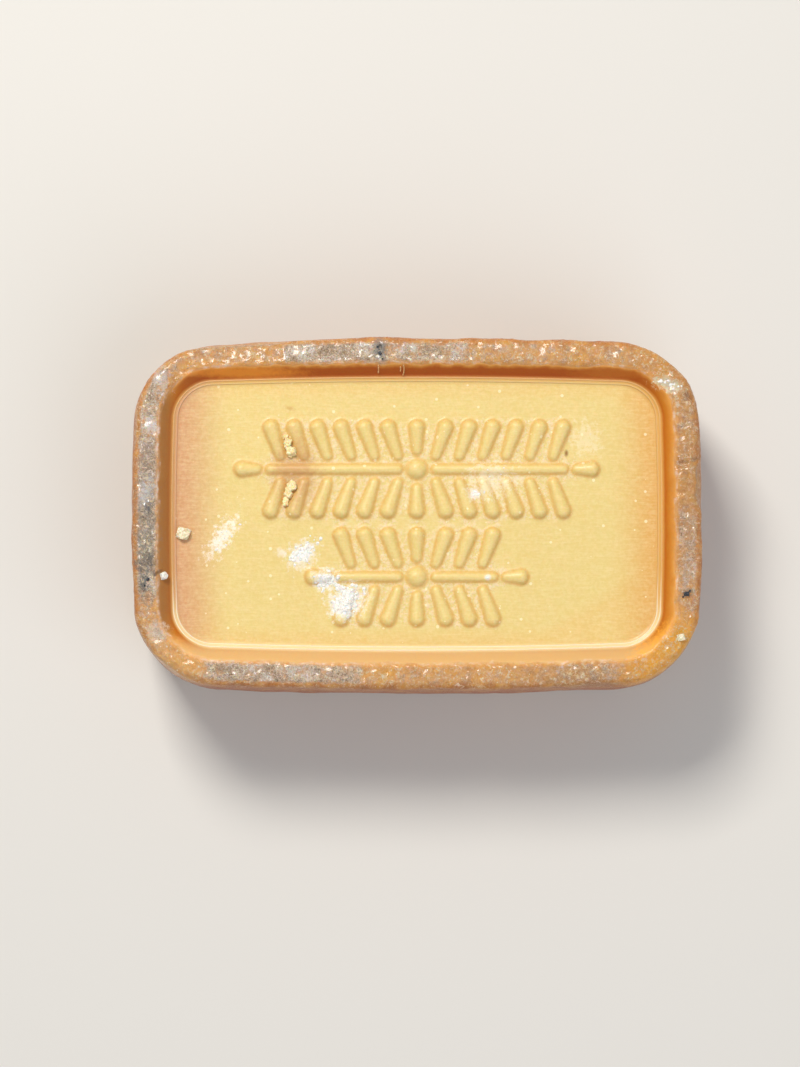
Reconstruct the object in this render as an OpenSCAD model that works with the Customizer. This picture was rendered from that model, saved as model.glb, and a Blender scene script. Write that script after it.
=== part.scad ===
// Bar of old household soap: one pressed block with a raised rim and a sunk panel on each face,
// a moulded relief of two leaf sprigs on the upper panel, and the crumbs, dried scum, grit and lint
// that lie loose on it. The origin is at the middle of the lower rim's resting plane, +X runs along
// the bar and +Z is up.

/* [Bar] */
// Length of the bar
bar_l = 92; // [77:1:120]
// Width of the bar
bar_w = 57.4; // [47.8:0.1:75]
// Height of the bar from rim to rim
bar_h = 27; // [20:0.5:40]
// Radius of the four upright corners
corner_r = 12.8; // [10.5:0.1:17]

/* [Rim] */
// How far the side walls lean in between the parting line and the rim
wall_draft = 0.5; // [0.2:0.1:1]
// Height of the upright band along the parting line
seam_band = 3; // [1:0.5:6]
// Radius of the rim's outer edge
edge_r = 1.4; // [0.8:0.1:2]
// Width of the flat land on top of the rim
crest_w = 2.6; // [1.8:0.1:3.2]
// Width in plan of the slope inside the rim
slope_w = 2.1; // [1.4:0.1:2.6]
// Width of the ledge at the foot of the slope
ledge_w = 0.6; // [0.3:0.1:1]
// Width of the small step from the ledge to the panel
step_w = 0.3; // [0.2:0.1:0.5]
// Height of that step
step_h = 0.35; // [0.2:0.05:0.6]
// Depth of each panel below its rim
recess_d = 2.6; // [1.8:0.1:4]

/* [Leaf relief] */
// Height of the leaves above the panel
relief_h = 1.1; // [0.7:0.1:1.3]
// Width of a leaf near its tip
leaf_w = 2.7; // [2.2:0.1:3.2]
// Width of a leaf at its foot
leaf_foot_w = 1.8; // [1.5:0.1:2.2]
// Angle between a leaf and the stem
leaf_lean = 71; // [62:1:80]
// Clear gap between the tips of neighbouring leaves
leaf_gap = 0.85; // [0.5:0.05:1.2]
// Shortest leaf at the end of a sprig
end_leaf_min = 2; // [1.5:0.5:4]
// Clear gap between the stem and what stands beside it
stem_gap = 0.35; // [0.2:0.05:0.6]
// Width of the stem
stem_w = 1.8; // [1.4:0.1:2.4]
// Height of the stem above the panel
stem_h = 0.7; // [0.4:0.1:0.9]
// Diameter of the berry in the middle of a sprig
berry_d = 3.6; // [2.8:0.1:4.4]
// Bare panel above the upper sprig
top_margin = 6.1; // [3:0.1:7]
// Bare panel below the lower sprig
foot_margin = 3.1; // [2:0.1:6]
// Bare panel between the two sprigs
sprig_gap = 1.3; // [0.8:0.1:2]
// Bare panel beyond each end of the upper sprig
upper_end_margin = 9.2; // [5:0.1:12]
// Bare panel beyond each end of the lower sprig
lower_end_margin = 20.6; // [5:0.1:21]

/* [Loose pieces] */
// Length of the largest crumb
crumb_l = 2.3; // [1.4:0.1:3]
// Length of the crumbs on the rim and its slope
small_crumb_l = 1.2; // [0.8:0.1:1.5]
// Height of the crumb on the rim
rim_crumb_h = 0.35; // [0.2:0.05:0.6]
// Length of the largest flake of dried scum
flake_l = 3.4; // [2:0.1:4]
// Thickness of the flakes
flake_h = 0.35; // [0.2:0.05:0.6]
// Length of the largest grain of grit
grit_l = 0.7; // [0.4:0.1:1]
// Diameter of a lint fibre
fibre_d = 0.2; // [0.12:0.02:0.3]
// Radius in which a lint fibre curls
fibre_curl_r = 4.2; // [3:0.1:8]

/* [Hidden] */
$fn = 64;

half_l = bar_l / 2;
half_w = bar_w / 2;
half_h = bar_h / 2;
corner_x = half_l - corner_r;
corner_y = half_w - corner_r;

// Distances in from the outline, across the rim
u_edge = wall_draft + edge_r;
u_crest = u_edge + crest_w;
u_slope = u_crest + slope_w;
u_ledge = u_slope + ledge_w;
u_panel = u_ledge + step_w;
lap = 0.7;
crest_mid = u_edge + crest_w / 2;
slope_mid = u_crest + slope_w / 2;
edge_steps = 6;

// Heights above the resting plane
floor_z = bar_h - recess_d;
ledge_z = floor_z + step_h;
slope_fall = recess_d - step_h;
slope_angle = atan(slope_fall / slope_w);
slope_len = norm([slope_w, slope_fall]);

// The panel, and the sprigs on it
panel_l = bar_l - 2 * u_panel;
panel_w = bar_w - 2 * u_panel;
sprig_w = (panel_w - top_margin - foot_margin - sprig_gap) / 2;
upper_y = panel_w / 2 - top_margin - sprig_w / 2;
lower_y = -panel_w / 2 + foot_margin + sprig_w / 2;
upper_half = panel_l / 2 - upper_end_margin;
lower_half = panel_l / 2 - lower_end_margin;

// One sprig: leaf feet lie stem_gap clear of the stem and of the berry
tip_r = leaf_w / 2;
foot_r = leaf_foot_w / 2;
stem_r = stem_w / 2;
berry_r = berry_d / 2;
leaf_pitch = (leaf_w + leaf_gap) / sin(leaf_lean);
leaf_root = stem_r + stem_gap + foot_r;
berry_clear = berry_r + stem_gap + foot_r;
leaf_reach = (sprig_w / 2 - tip_r - leaf_root) / sin(leaf_lean);

// A chip: its width as a share of its length, and the tilts of the cube that cuts its corners
chip_share_w = 0.9;
chip_tilts = [11, 7, 32];

// Heights of the loose pieces as shares of their lengths
square_crumb_share_h = 0.45;
slope_crumb_share_h = 0.5;
gap_crumb_share_h = 0.7;
grit_share_h = 0.4;

// Places of the single crumbs: along the left side, and as an angle round the lower right corner
square_crumb_y = -3.1;
slope_crumb_y = -10;
corner_crumb_turn = -24;
// The gap between leaves that holds crumbs, counted in leaves from the end of the upper sprig
gap_from_end = 1.5;
// Crumbs in that gap: [distance from the stem, length as a share of the gap's width]
gap_places = [[3, 0.95], [-2.7, 0.9], [-4, 0.85], [-5.3, 0.7]];
// Scum on the bare panel: [x from the lower sprig's end, y from its stem, share of flake_l, turn]
panel_scum = [[-1, 3.4, 0.9, 25], [-13.2, 7, 0.8, 20], [-12.2, 4, 0.5, 60]];
// Grit on the land: [x, y, share of grit_l]
grit_places = [[half_l - crest_mid, -12.9, 1], [-5.9, half_w - crest_mid, 0.8],
               [-half_l + crest_mid, -10.6, 0.7]];
// Lint on the upper slope: [x, share of the slope's length that it spans]
fibre_places = [[-2, 0.9], [-6.1, 0.55]];

// Colours of aged soap and of what lies on it
soap_yellow = "#e8c27e";
crumb_cream = "#ece0bb";
crumb_straw = "#f0da92";
scum_white = "#f0efe6";
grit_dark = "#26272b";
lint_tan = "#d39a5c";

// Points of an arc, on a 0.001 mm grid so that the swept parts of the rim meet face to face
function grid(v) = round(v * 1000) / 1000;
function arc(centre, r, from, to, steps) =
    [for (i = [0:steps]) let (t = from + (to - from) * i / steps)
        [grid(centre.x + r * cos(t)), grid(centre.y + r * sin(t))]];

// Number of leaf pairs between the berry and the end leaf of a sprig of this half length
function leaf_pairs(half) = floor((half - berry_clear - tip_r - end_leaf_min) / leaf_pitch);

// Upper half of the rim's section as [distance in from the outline, height above mid-height]
upper_section = concat(
    [[0, 0], [0, seam_band / 2]],
    arc([u_edge, half_h - edge_r], edge_r, 180, 90, edge_steps),
    [[u_crest, half_h],
     [u_slope, half_h - slope_fall],
     [u_ledge, half_h - slope_fall],
     [u_panel, half_h - recess_d],
     [u_panel + lap, half_h - recess_d]]);

// The whole section, with its outer wall at the distance r
function section(r) =
    let (last = len(upper_section) - 1)
    concat([for (p = upper_section) [r - p.x, half_h + p.y]],
           [for (i = [last:-1:1]) [r - upper_section[i].x, half_h - upper_section[i].y]]);

module rim_side(length, r)
    rotate([90, 0, 90])
        linear_extrude(length, center = true)
            polygon(section(r));

module rim() {
    for (turn = [0, 180]) {
        rotate([0, 0, turn]) rim_side(2 * corner_x, half_w);
        rotate([0, 0, turn + 90]) rim_side(2 * corner_y, half_l);
    }
    for (k = [[1, 1, 0], [-1, 1, 90], [-1, -1, 180], [1, -1, 270]])
        translate([k.x * corner_x, k.y * corner_y, 0])
            rotate([0, 0, k.z])
                rotate_extrude(angle = 90)
                    polygon(section(corner_r));
}

// Soap between the two panels, which runs in under the rim on all sides
module core()
    translate([0, 0, half_h])
        cube([bar_l - 2 * u_crest, bar_w - 2 * u_crest, bar_h - 2 * recess_d], center = true);

// A round bar along +X from the origin, with ball ends, its top h above the panel
module ridge(reach, foot, tip, h)
    translate([0, 0, h - tip])
        rotate([0, 90, 0]) {
            sphere(foot);
            cylinder(h = reach, r1 = foot, r2 = tip);
            translate([0, 0, reach]) sphere(tip);
        }

module leaf(reach) ridge(reach, foot_r, tip_r, relief_h);

// Half a sprig, along +X from the middle of the berry
module half_sprig(half) {
    pairs = leaf_pairs(half);
    end_x = berry_clear + pairs * leaf_pitch;
    stem_start = berry_r + stem_gap + stem_r;
    stem_end = end_x - foot_r - stem_gap - stem_r;
    for (i = [0:1:pairs - 1], side = [1, -1])
        translate([berry_clear + i * leaf_pitch, side * leaf_root, 0])
            rotate([0, 0, side * leaf_lean])
                leaf(leaf_reach);
    translate([end_x, 0, 0]) leaf(half - tip_r - end_x);
    translate([stem_start, 0, 0]) ridge(stem_end - stem_start, stem_r, stem_r, stem_h);
}

module sprig(half) {
    for (turn = [0, 180]) rotate([0, 0, turn]) {
        half_sprig(half);
        rotate([0, 0, 90])
            translate([berry_clear, 0, 0])
                leaf(sprig_w / 2 - tip_r - berry_clear);
    }
    translate([0, 0, relief_h - berry_r]) sphere(berry_r);
}

module soap_bar()
    color(soap_yellow) {
        rim();
        core();
        translate([0, upper_y, floor_z]) sprig(upper_half);
        translate([0, lower_y, floor_z]) sprig(lower_half);
    }

// An angular chip, with a flat underside at z = 0, that keeps within a box l by chip_share_w * l
module chip(l, h, turn = 0)
    rotate([0, 0, turn])
        intersection() {
            translate([0, 0, h / 2]) cube([l, chip_share_w * l, h], center = true);
            translate([0, 0, h * 0.35]) rotate(chip_tilts) cube([l, l, 1.8 * h], center = true);
        }

// The largest crumb lies on the panel, beside the ledge on the left
module square_crumb()
    color(crumb_cream)
        translate([-panel_l / 2 + 0.6 * crumb_l, square_crumb_y, floor_z])
            chip(crumb_l, square_crumb_share_h * crumb_l);

// A smaller crumb lies on the slope below it
module slope_crumb()
    color(scum_white)
        translate([-half_l + slope_mid, slope_crumb_y, bar_h - slope_fall / 2])
            rotate([0, slope_angle, 0])
                chip(small_crumb_l, slope_crumb_share_h * small_crumb_l);

// Another lies on the land of the rim, in the lower right corner
module corner_crumb()
    color(crumb_cream)
        translate([corner_x, -corner_y, bar_h])
            rotate([0, 0, corner_crumb_turn])
                translate([corner_r - crest_mid, 0, 0])
                    chip(small_crumb_l, rim_crumb_h, 15);

// Crumbs lodged in one gap between leaves of the upper sprig, which leans as the leaves do
module gap_crumbs()
    color(crumb_straw)
        for (k = gap_places) {
            gap_x = berry_clear + (leaf_pairs(upper_half) - gap_from_end) * leaf_pitch;
            lean_x = (abs(k[0]) - leaf_root) / tan(leaf_lean);
            translate([-gap_x - lean_x, upper_y + k[0], floor_z])
                chip(k[1] * leaf_gap, gap_crumb_share_h * leaf_gap);
        }

// Dried scum left of and on the lower sprig. The flakes on the sprig rest on the highest points of two
// ridges, the tips of its end leaf and of its last lower leaf.
module scum_flakes() {
    end_tip = [-(lower_half - tip_r), 0];
    leaf_tip = [-(berry_clear + (leaf_pairs(lower_half) - 1) * leaf_pitch + leaf_reach * cos(leaf_lean)),
                -(leaf_root + leaf_reach * sin(leaf_lean))];
    color(scum_white)
        translate([0, lower_y, floor_z]) {
            for (k = panel_scum)
                translate([-lower_half + k[0], k[1], 0])
                    chip(k[2] * flake_l, flake_h, k[3]);
            // On the relief: [place, share of flake_l, turn]
            for (k = [[end_tip, 0.8, 70], [leaf_tip, 1, 40]])
                translate([k[0].x, k[0].y, relief_h])
                    chip(k[1] * flake_l, flake_h, k[2]);
        }
}

// Grit stuck to the land of the rim, on the right, at the top and on the left
module rim_grit()
    color(grit_dark)
        for (k = grit_places)
            translate([k[0], k[1], bar_h])
                chip(k[2] * grit_l, grit_share_h * grit_l);

// Lint fibres curled down the upper slope
module lint_fibres()
    color(lint_tan)
        for (k = fibre_places) {
            turn = 2 * asin(k[1] * slope_len / 2 / fibre_curl_r);
            translate([k[0], half_w - slope_mid, bar_h - slope_fall / 2])
                rotate([slope_angle, 0, 0])
                    translate([-fibre_curl_r, 0, fibre_d / 2])
                        rotate([0, 0, -turn / 2])
                            rotate_extrude(angle = turn)
                                translate([fibre_curl_r, 0]) circle(d = fibre_d);
        }

soap_bar();
square_crumb();
slope_crumb();
corner_crumb();
gap_crumbs();
scum_flakes();
rim_grit();
lint_fibres();
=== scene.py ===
# %% [markdown]
# # A worn bar of household soap
# A bar like this is one block of hard soap. Two dies press it, so each face gets a raised rim, a
# smooth slope, a narrow ledge and a sunk panel, and the upper panel gets a moulded relief. Years of
# drying and handling then chip the rim, polish the corners and leave crumbs and dried scum behind.
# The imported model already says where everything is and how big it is. It is loaded first, and all
# that follows is built around it, in metres.

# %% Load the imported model
import math
import random
from contextlib import contextmanager

import bmesh
import bpy
import numpy as np
from mathutils import Matrix, Vector
from mathutils.bvhtree import BVHTree


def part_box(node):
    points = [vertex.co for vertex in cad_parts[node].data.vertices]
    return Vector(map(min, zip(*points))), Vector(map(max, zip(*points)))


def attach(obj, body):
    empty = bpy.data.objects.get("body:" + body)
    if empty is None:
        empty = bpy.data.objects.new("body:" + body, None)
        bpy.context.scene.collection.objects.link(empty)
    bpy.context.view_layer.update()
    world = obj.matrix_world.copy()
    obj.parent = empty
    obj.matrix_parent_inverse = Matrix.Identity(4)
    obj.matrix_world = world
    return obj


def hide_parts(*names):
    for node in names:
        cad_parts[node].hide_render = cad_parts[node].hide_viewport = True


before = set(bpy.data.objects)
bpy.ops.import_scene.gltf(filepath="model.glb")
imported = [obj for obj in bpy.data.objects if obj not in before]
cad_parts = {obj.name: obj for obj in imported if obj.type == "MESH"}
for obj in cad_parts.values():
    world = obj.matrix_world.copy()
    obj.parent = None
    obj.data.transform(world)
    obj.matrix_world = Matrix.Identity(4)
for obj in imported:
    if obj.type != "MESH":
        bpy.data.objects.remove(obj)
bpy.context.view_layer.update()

print("nodes:", ", ".join(sorted(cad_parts)))

# %% [markdown]
# ## Sizes
# The length, width and height of the bar are read from its node, so they can't drift away from the
# model. The widths of the rim's bands and of the ridges are too fine to read from a box, so they are
# named here in millimetres, with the values that the dies have. `MM` turns them into metres.

# %% Sizes of the bar, its rim and its relief
MM = 0.001
bar_low, bar_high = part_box("soap_bar")
BAR_L, BAR_W, BAR_H = (bar_high - bar_low) / MM
HALF_L, HALF_W = BAR_L / 2, BAR_W / 2

CORNER_R = 12.8
LONG_BOW, SHORT_BOW = 1.5, 1.1
WALL_DRAFT = 0.5
SEAM_BAND = 3
EDGE_R = 1.4
CREST_W = 2.6
SLOPE_W = 2.1
LEDGE_W = 0.6
STEP_W = 0.3
STEP_H = 0.35
RECESS_D = 2.6

U_CREST = WALL_DRAFT + EDGE_R
U_SLOPE = U_CREST + CREST_W
U_LEDGE = U_SLOPE + SLOPE_W
U_PANEL = U_LEDGE + LEDGE_W + STEP_W
PANEL_L, PANEL_W = BAR_L - 2 * U_PANEL, BAR_W - 2 * U_PANEL
FLOOR_Z = BAR_H - RECESS_D
print(f"bar {BAR_L:.1f} x {BAR_W:.1f} x {BAR_H:.1f} mm, panel {PANEL_L:.1f} x {PANEL_W:.1f} mm")

# %% [markdown]
# ## Working in edit mode from a script
# An operator works on whatever is selected. These helpers make one object active, open edit mode for
# the length of a `with` block, and select only the faces, edges or vertices that pass a test. That is
# the scripted form of clicking on them.

# %% Selection helpers
def activate(obj):
    """Make obj the only selected object, and the active one."""
    bpy.ops.object.select_all(action="DESELECT")
    obj.select_set(True)
    bpy.context.view_layer.objects.active = obj


@contextmanager
def editing(obj, kind="FACE"):
    """Edit mode on obj, with nothing selected, picking vertices, edges or faces."""
    activate(obj)
    bpy.ops.object.mode_set(mode="EDIT")
    bpy.ops.mesh.select_mode(type=kind)
    bpy.ops.mesh.select_all(action="DESELECT")
    yield
    bpy.ops.object.mode_set(mode="OBJECT")


def pick(obj, test, kind="faces"):
    """In edit mode, select the vertices, edges or faces for which test is true."""
    bpy.ops.mesh.select_all(action="DESELECT")
    bm = bmesh.from_edit_mesh(obj.data)
    for element in getattr(bm, kind):
        if test(element):
            element.select_set(True)
    bmesh.update_edit_mesh(obj.data)


def apply_modifier(obj, kind, **settings):
    """Add one modifier to obj with these settings, and apply it."""
    activate(obj)
    modifier = obj.modifiers.new(kind.lower(), kind)
    for name, value in settings.items():
        setattr(modifier, name, value)
    bpy.ops.object.modifier_apply(modifier=modifier.name)


def triangles(obj):
    return sum(len(p.vertices) - 2 for p in obj.data.polygons)


# %% [markdown]
# ## The blank
# Dies press a bar from a rounded slug. A cube of the bar's size is the slug: its upright edges are
# bevelled to the corner radius, and a narrow band is cut round its middle, where the two dies meet.
# The walls lean in from that band, so the top and bottom faces are scaled down a little. Bevelling
# the outer edge and insetting the face then give the rim, band by band, as the die does.

# %% Press the blank
bpy.ops.object.select_all(action="DESELECT")
bpy.ops.mesh.primitive_cube_add(size=1, location=(0, 0, BAR_H * MM / 2),
                                scale=(BAR_L * MM, BAR_W * MM, BAR_H * MM))
bar = bpy.context.object
bar.name = "aged_bar"
bpy.ops.object.transform_apply(location=True, rotation=True, scale=True)

with editing(bar, "EDGE"):
    pick(bar, lambda e: abs(e.verts[0].co.z - e.verts[1].co.z) > MM, "edges")
    bpy.ops.mesh.bevel(offset=CORNER_R * MM, segments=14, profile=0.5, affect="EDGES")

with editing(bar, "FACE"):
    for z in (BAR_H - SEAM_BAND, BAR_H + SEAM_BAND):
        bpy.ops.mesh.select_all(action="SELECT")
        bpy.ops.mesh.bisect(plane_co=(0, 0, z * MM / 2), plane_no=(0, 0, 1))
    lean = (1 - WALL_DRAFT / HALF_L, 1 - WALL_DRAFT / HALF_W, 1)
    for face_z in (0, BAR_H * MM):
        pick(bar, lambda f: all(abs(v.co.z - face_z) < 0.01 * MM for v in f.verts))
        bpy.ops.transform.resize(value=lean, center_override=(0, 0, face_z))

with editing(bar, "EDGE"):
    pick(bar, lambda e: all(min(v.co.z, BAR_H * MM - v.co.z) < 0.01 * MM for v in e.verts), "edges")
    bpy.ops.mesh.bevel(offset=EDGE_R * MM, segments=5, profile=0.5, affect="EDGES")

with editing(bar, "FACE"):
    for side in (1, -1):
        pick(bar, lambda f: f.normal.z * side > 0.999 and f.calc_area() > 1000 * MM * MM)
        bands = ((CREST_W, 0), (SLOPE_W, RECESS_D - STEP_H), (LEDGE_W, 0), (STEP_W, STEP_H))
        for width, drop in bands:
            bpy.ops.mesh.inset(thickness=width * MM, depth=-drop * MM)

# %% [markdown]
# The sides of a pressed bar bulge a little between its corners. The blank has no points along its
# sides yet, so it is cut across every few millimetres, and then each point is drawn in by an amount
# that grows with the square of its distance from the middle.

# %% Give the sides their bow
CUT_PITCH = 4
with editing(bar, "FACE"):
    for axis, half in ((0, HALF_L), (1, HALF_W)):
        count = int(half / CUT_PITCH)
        for k in range(-count, count + 1):
            normal = [0, 0, 0]
            normal[axis] = 1
            place = [c * k * CUT_PITCH * MM for c in normal]
            bpy.ops.mesh.select_all(action="SELECT")
            bpy.ops.mesh.bisect(plane_co=place, plane_no=normal)


def unbow(x, y):
    """How much narrower (in x) and thinner (in y) the bowed bar is at this place, as two factors."""
    return (1 - SHORT_BOW / HALF_L * (y / HALF_W) ** 2,
            1 - LONG_BOW / HALF_W * (x / HALF_L) ** 2)


for v in bar.data.vertices:
    in_x, in_y = unbow(v.co.x / MM, v.co.y / MM)
    v.co.x *= in_x
    v.co.y *= in_y
print("blank:", len(bar.data.polygons), "faces, box",
      [round(d / MM, 2) for d in bar.dimensions], "mm")

# %% [markdown]
# ## The leaf relief
# Each leaf is a ridge: a ball-ended bar that is half sunk in the panel. A sphere is the start. It is
# laid on its side, and the half that points outwards is scaled and pulled away, which stretches the
# band between the halves into a tapered bar. One ridge of each kind is modelled, and the rest of the
# sprig is made of copies, mirrored and turned about the stem.

# %% Sizes of the sprigs
RELIEF_H = 1.1
LEAF_W, LEAF_FOOT_W = 2.7, 1.8
LEAF_LEAN = math.radians(71)
LEAF_GAP = 0.85
END_LEAF_MIN = 2
STEM_GAP, STEM_W, STEM_H = 0.35, 1.8, 0.7
BERRY_D = 3.6
TOP_MARGIN, FOOT_MARGIN, SPRIG_GAP = 6.1, 3.1, 1.3
UPPER_END_MARGIN, LOWER_END_MARGIN = 9.2, 20.6

SPRIG_W = (PANEL_W - TOP_MARGIN - FOOT_MARGIN - SPRIG_GAP) / 2
UPPER_Y = PANEL_W / 2 - TOP_MARGIN - SPRIG_W / 2
LOWER_Y = -PANEL_W / 2 + FOOT_MARGIN + SPRIG_W / 2
UPPER_HALF, LOWER_HALF = PANEL_L / 2 - UPPER_END_MARGIN, PANEL_L / 2 - LOWER_END_MARGIN
TIP_R, FOOT_R, STEM_R, BERRY_R = LEAF_W / 2, LEAF_FOOT_W / 2, STEM_W / 2, BERRY_D / 2
LEAF_PITCH = (LEAF_W + LEAF_GAP) / math.sin(LEAF_LEAN)
LEAF_ROOT = STEM_R + STEM_GAP + FOOT_R
BERRY_CLEAR = BERRY_R + STEM_GAP + FOOT_R
LEAF_REACH = (SPRIG_W / 2 - TIP_R - LEAF_ROOT) / math.sin(LEAF_LEAN)


def sprig_ridges(half, y):
    """Every ridge of one sprig as (x, y, angle, reach, foot radius, tip radius, height), in mm."""
    pairs = math.floor((half - BERRY_CLEAR - TIP_R - END_LEAF_MIN) / LEAF_PITCH)
    end_x = BERRY_CLEAR + pairs * LEAF_PITCH
    stem_start = BERRY_R + STEM_GAP + STEM_R
    stem_end = end_x - FOOT_R - STEM_GAP - STEM_R
    ridges = [(0, y, 0, 0, BERRY_R, BERRY_R, RELIEF_H)]
    for way in (1, -1):
        turn = 0 if way > 0 else math.pi
        for i in range(pairs):
            for side in (1, -1):
                ridges.append((way * (BERRY_CLEAR + i * LEAF_PITCH), y + side * LEAF_ROOT,
                               turn + way * side * LEAF_LEAN, LEAF_REACH, FOOT_R, TIP_R, RELIEF_H))
        ridges.append((way * end_x, y, turn, half - TIP_R - end_x, FOOT_R, TIP_R, RELIEF_H))
        ridges.append((way * stem_start, y, turn, stem_end - stem_start, STEM_R, STEM_R, STEM_H))
        ridges.append((0, y + way * BERRY_CLEAR, way * math.pi / 2,
                       SPRIG_W / 2 - TIP_R - BERRY_CLEAR, FOOT_R, TIP_R, RELIEF_H))
    return ridges


RIDGES = sprig_ridges(UPPER_HALF, UPPER_Y) + sprig_ridges(LOWER_HALF, LOWER_Y)
print(len(RIDGES), "ridges in two sprigs")

# %% Model each kind of ridge once, and copy it
def model_ridge(reach, foot, tip):
    """A ball-ended, tapered bar along +X from the origin, lying on the plane of its axis."""
    bpy.ops.object.select_all(action="DESELECT")
    bpy.ops.mesh.primitive_uv_sphere_add(segments=20, ring_count=12, radius=foot * MM)
    ridge = bpy.context.object
    with editing(ridge, "VERT"):
        bpy.ops.mesh.select_all(action="SELECT")
        bpy.ops.transform.rotate(value=math.pi / 2, orient_axis="Y", center_override=(0, 0, 0))
        if reach > 0:
            pick(ridge, lambda v: v.co.x > 0.01 * MM, "verts")
            bpy.ops.transform.resize(value=(tip / foot,) * 3, center_override=(0, 0, 0))
            bpy.ops.transform.translate(value=(reach * MM, 0, 0))
    return ridge


kinds = {}
copies = []
for x, y, angle, reach, foot, tip, height in RIDGES:
    kind = (round(reach, 3), foot, tip)
    if kind not in kinds:
        kinds[kind] = model_ridge(reach, foot, tip)
    copy = kinds[kind].copy()
    copy.data = kinds[kind].data.copy()
    place = Matrix.Translation(Vector((x, y, FLOOR_Z + height - tip)) * MM)
    copy.data.transform(place @ Matrix.Rotation(angle, 4, "Z"))
    bpy.context.collection.objects.link(copy)
    copies.append(copy)
for model in kinds.values():
    bpy.data.objects.remove(model)
print(len(kinds), "kinds of ridge,", len(copies), "copies")

# %% [markdown]
# ## One solid
# The ridges only overlap the blank so far. A voxel remesh wraps everything in one closed skin, which
# is what pressed soap is. Its voxel is finer than the ledge at the foot of the slope, so that edge
# stays readable, and a few rounds of smoothing take the voxel steps away.

# %% Join and wrap in one skin
VOXEL = 0.27
activate(bar)
for copy in copies:
    copy.select_set(True)
bpy.ops.object.join()
apply_modifier(bar, "REMESH", mode="VOXEL", voxel_size=VOXEL * MM)
apply_modifier(bar, "SMOOTH", factor=0.5, iterations=3)
print("one skin:", len(bar.data.vertices), "vertices")

# %% [markdown]
# ## Where on the bar a point lies
# Wear and colour both follow the rim, so each point gets two distances in millimetres: how far in
# from the outline it lies, and how far it is from the nearest ridge. The bow is taken out first, so
# that the outline is a plain rounded rectangle.

# %% Distances from the outline and from the ridges
def points_of(obj):
    flat = np.empty(len(obj.data.vertices) * 3)
    obj.data.vertices.foreach_get("co", flat)
    return flat.reshape(-1, 3) / MM


def normals_of(obj):
    flat = np.empty(len(obj.data.vertices) * 3)
    obj.data.vertices.foreach_get("normal", flat)
    return flat.reshape(-1, 3)


def from_outline(points):
    """Distance in from the outline, in mm: 0 on the wall, U_PANEL at the edge of the panel."""
    in_x, in_y = unbow(points[:, 0], points[:, 1])
    qx = np.abs(points[:, 0]) / in_x - (HALF_L - CORNER_R)
    qy = np.abs(points[:, 1]) / in_y - (HALF_W - CORNER_R)
    outside = np.hypot(np.maximum(qx, 0), np.maximum(qy, 0))
    return CORNER_R - outside - np.minimum(np.maximum(qx, qy), 0)


def from_ridges(points):
    """Distances from the feet of the nearest and the next ridge in plan, in mm: negative on a ridge."""
    nearest, second = np.full(len(points), 99.0), np.full(len(points), 99.0)
    for x, y, angle, reach, foot, tip, height in RIDGES:
        way = np.array((math.cos(angle), math.sin(angle)))
        offset = points[:, :2] - (x, y)
        along = np.clip(offset @ way, 0, reach)
        share = along / reach if reach > 0 else 0
        gap = np.linalg.norm(offset - np.outer(along, way), axis=1) - foot - (tip - foot) * share
        second = np.minimum(second, np.maximum(nearest, gap))
        nearest = np.minimum(nearest, gap)
    return nearest, second


def ramp(value, low, high):
    """A smooth rise from 0 at low to 1 at high; low may be the larger."""
    t = np.clip((value - low) / (high - low), 0, 1)
    return t * t * (3 - 2 * t)


def near_top(points):
    """1 on the upper rim, fading to 0 a little below the upper panel."""
    return ramp(points[:, 2], FLOOR_Z - 1.5, BAR_H - 1.2)


def on_top(points):
    """True on the upper rim, its slope, the panel and the relief."""
    return points[:, 2] > FLOOR_Z - 0.5


def paint_group(obj, name, weights):
    """A vertex group with these weights, in twenty levels."""
    group = obj.vertex_groups.new(name=name)
    levels = np.rint(weights * 20).astype(int)
    for level in range(1, 21):
        chosen = np.flatnonzero(levels == level)
        if len(chosen):
            group.add(chosen.tolist(), level / 20, "REPLACE")
    return name


points = points_of(bar)
inset = from_outline(points)
print(f"inset runs from {inset.min():.2f} to {inset.max():.2f} mm")

# %% [markdown]
# ## Wear
# A dry bar chips and crumbles along its rim, while hands and shelves polish its walls. Five Displace
# modifiers push the skin in and out by the brightness of procedural patterns: broad hand wear over
# the walls, then chips, knobs, flakes and pits on the land of the upper rim. Vertex groups keep each
# pattern where it belongs, and every pattern has the size of the real damage in millimetres. The
# brinks of the land are worn round first, by smoothing only them.

# %% Broad wear, chips, flakes and pits
BRINK_REACH, BRINK_ROUNDS = 1.7, 36
LEAST_LUMPY = 0.45
outer_thirds = np.abs(points[:, 2] - BAR_H / 2) > BAR_H / 3
at_brink = ramp(np.abs(inset - U_SLOPE), BRINK_REACH, 0.2) * outer_thirds
apply_modifier(bar, "SMOOTH", factor=0.5, iterations=BRINK_ROUNDS,
               vertex_group=paint_group(bar, "brink", at_brink))

land = ramp(inset, U_SLOPE + 0.4, U_SLOPE - 0.7)
lumpy_side = LEAST_LUMPY + (1 - LEAST_LUMPY) * ramp(points[:, 0], 0, 30)
off_edge = 0.3 + 0.7 * ramp(inset, 0.3, 1.6)
lumpy = paint_group(bar, "lumpy", land * near_top(points) * lumpy_side * ramp(inset, 0.6, 2.2))
upper_land = paint_group(bar, "upper_land", land * near_top(points) * off_edge)
walls = paint_group(bar, "walls", land * ramp(points[:, 2], 0.3, 3))


def texture(name, kind, **settings):
    made = bpy.data.textures.new(name, kind)
    for key, value in settings.items():
        setattr(made, key, value)
    return made


def displace(obj, pattern, strength, group="", mid=0.5):
    """Push obj in and out by a pattern: strength is the pattern's full travel in mm."""
    apply_modifier(obj, "DISPLACE", texture=pattern, strength=strength * MM, vertex_group=group,
                   texture_coords="LOCAL", mid_level=mid)


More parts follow.
